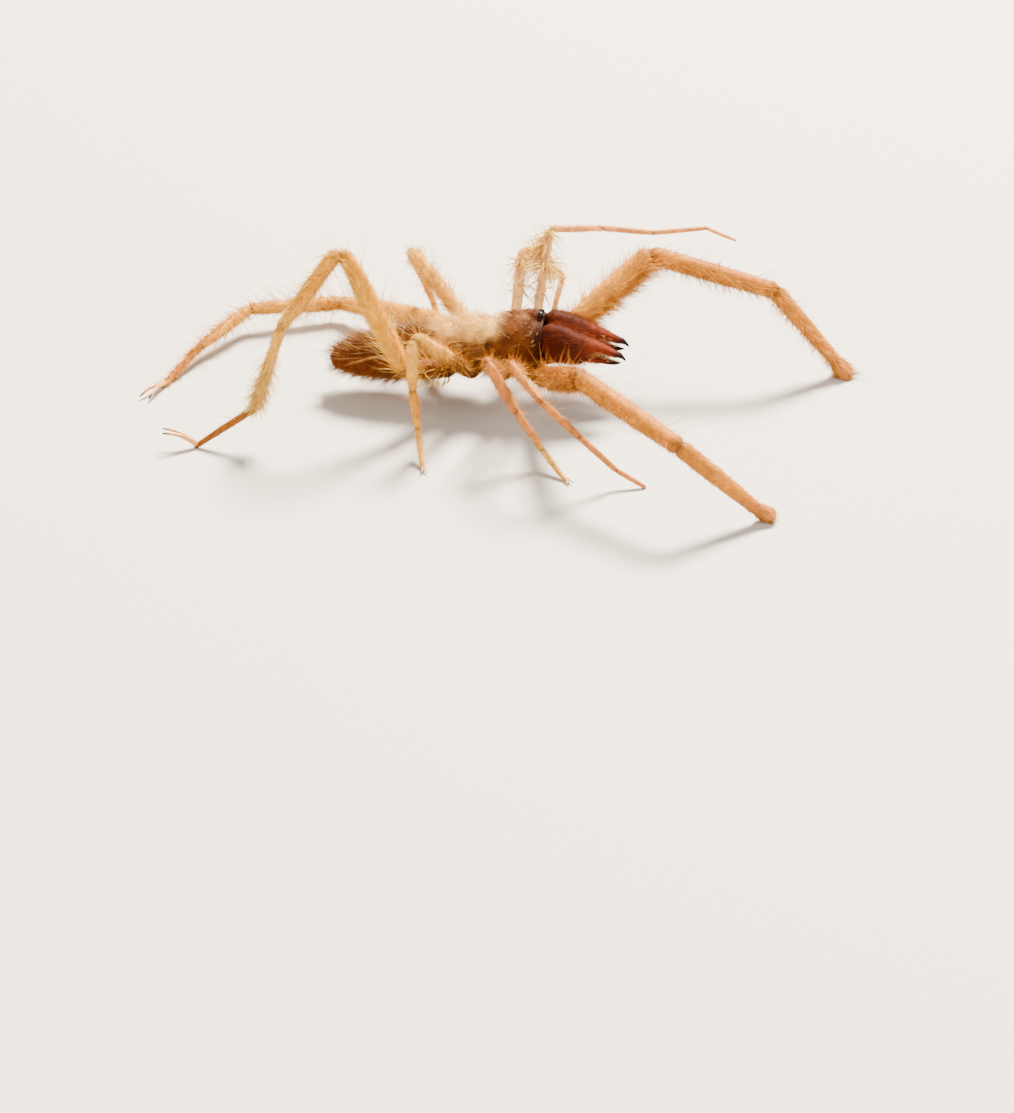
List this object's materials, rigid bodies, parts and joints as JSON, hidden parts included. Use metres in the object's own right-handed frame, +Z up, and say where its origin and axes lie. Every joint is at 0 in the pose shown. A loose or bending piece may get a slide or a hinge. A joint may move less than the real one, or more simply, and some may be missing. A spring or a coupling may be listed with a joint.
{
  "type": "camel spider",
  "caption": "Life-size still model of a camel spider standing at rest: long hairy legs, leg-like palps held ahead, large pincers, slender ringed abdomen.",
  "frame": {"origin": "on the floor, under the middle of the animal's box", "axes": "+X the way the head points, +Y the animal's left side, +Z up from the floor"},
  "size_m": [0.1458, 0.0824, 0.0392],
  "materials": {
    "leg": "thin golden-straw cuticle, smooth, under short bristles",
    "palp": "orange-tan cuticle, smooth, under short bristles",
    "head": "olive-brown shield, satin, fine bristles",
    "thorax": "pale brown plates with a pale silky coat",
    "abdomen": "soft brown ringed skin with a dense short coat",
    "chelicera": "dark red-brown, smooth and hard, with stiff bristles",
    "finger": "near-black red-brown, hard and glossy",
    "eye": "black, very glossy"
  },
  "bodies": {
    "root": {"abdomen": "abdomen", "thorax": "thorax", "head_shield": "head", "eye_L": "eye", "eye_R": "eye", "chelicera_L": "chelicera", "chelicera_R": "chelicera", "cheliceral_finger_L": "finger", "cheliceral_finger_R": "finger", "palp_L_femur": "palp", "palp_L_patella": "palp", "palp_L_tibia": "palp", "palp_L_tarsus": "palp", "palp_R_femur": "palp", "palp_R_patella": "palp", "palp_R_tibia": "palp", "palp_R_tarsus": "palp", "leg1_L_femur": "leg", "leg1_L_patella": "leg", "leg1_L_tibia": "leg", "leg1_L_basitarsus": "leg", "leg1_L_tarsus": "leg", "leg1_R_femur": "leg", "leg1_R_patella": "leg", "leg1_R_tibia": "leg", "leg1_R_basitarsus": "leg", "leg1_R_tarsus": "leg", "leg2_L_femur": "leg", "leg2_L_patella": "leg", "leg2_L_tibia": "leg", "leg2_L_tarsus": "leg", "leg2_R_femur": "leg", "leg2_R_patella": "leg", "leg2_R_tibia": "leg", "leg2_R_tarsus": "leg", "leg3_L_femur": "leg", "leg3_L_patella": "leg", "leg3_L_tibia": "leg", "leg3_L_tarsus": "leg", "leg3_R_femur": "leg", "leg3_R_patella": "leg", "leg3_R_tibia": "leg", "leg3_R_tarsus": "leg", "leg4_L_basifemur": "leg", "leg4_L_femur": "leg", "leg4_L_patella": "leg", "leg4_L_tibia": "leg", "leg4_L_tarsus": "leg", "leg4_R_basifemur": "leg", "leg4_R_femur": "leg", "leg4_R_patella": "leg", "leg4_R_tibia": "leg", "leg4_R_tarsus": "leg"}
  },
  "joints": []
}
